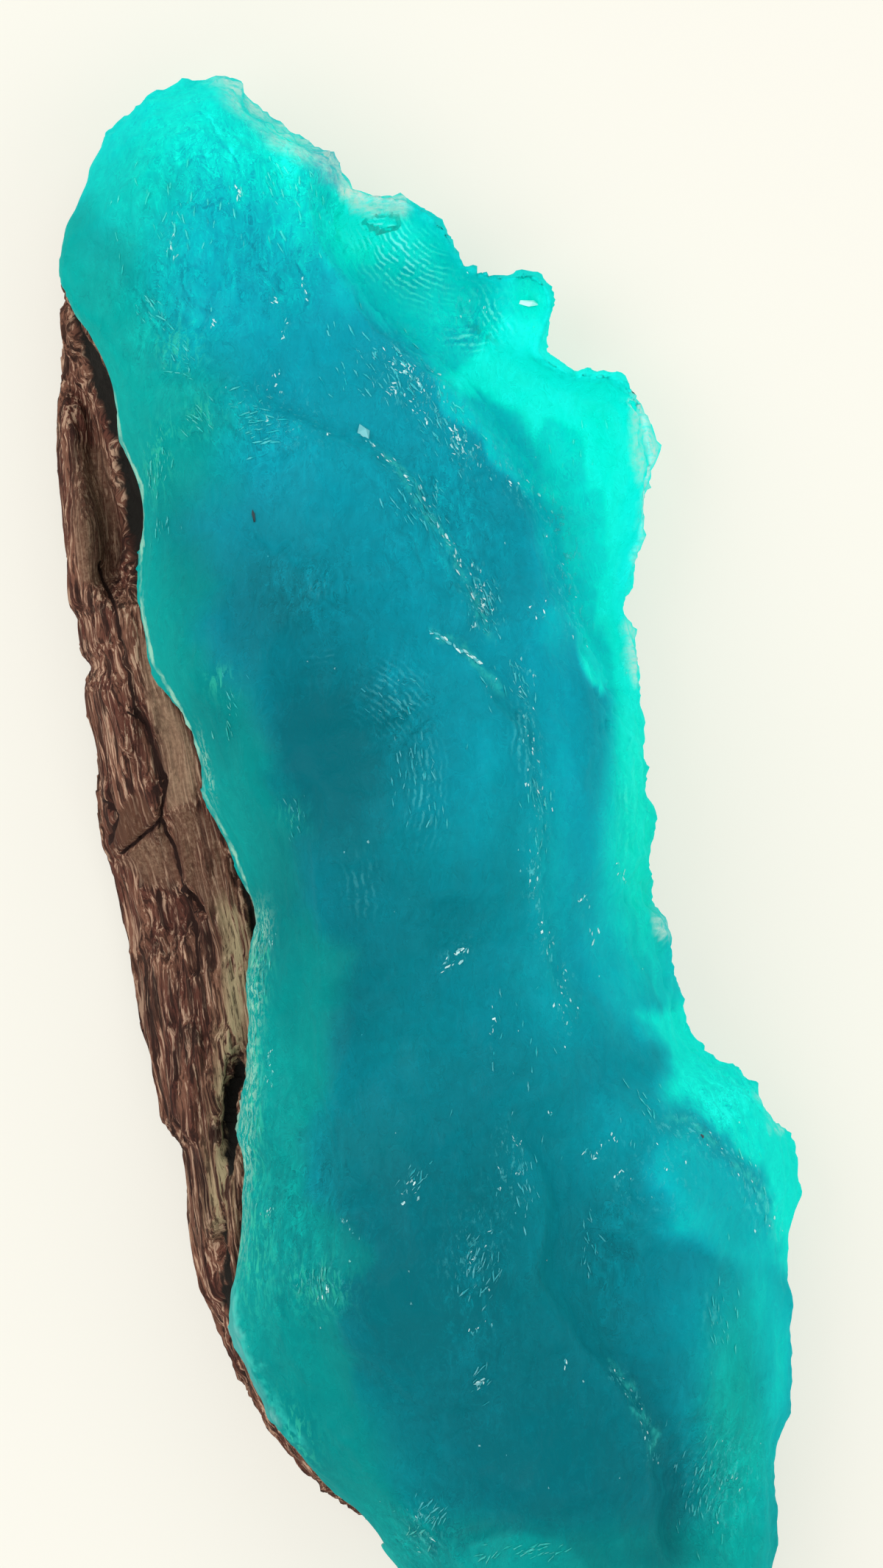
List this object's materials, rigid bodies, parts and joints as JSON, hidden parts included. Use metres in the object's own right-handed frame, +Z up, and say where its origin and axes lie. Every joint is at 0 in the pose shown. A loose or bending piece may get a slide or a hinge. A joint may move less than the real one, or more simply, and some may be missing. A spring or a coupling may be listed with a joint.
{
  "type": "hemimorphite specimen",
  "caption": "Elongated hand specimen of translucent sky-blue hemimorphite on a strip of fibrous brown limonite, with broken ledges and a low knob, lying on its back.",
  "frame": {"origin": "on the table under the middle of the specimen's bounding box", "axes": "+Y along the stone from its foot to its tip, +X across it from the limonite side to the broken blue rim, +Z up out of its front"},
  "size_m": [0.049, 0.1292, 0.0261],
  "materials": {
    "hemimorphite": "translucent, waxy to vitreous, fine ripples and small bright facets on broken faces",
    "limonite": null
  },
  "bodies": {
    "root": {"hemimorphite": "hemimorphite", "limonite_matrix": "limonite"}
  },
  "joints": []
}
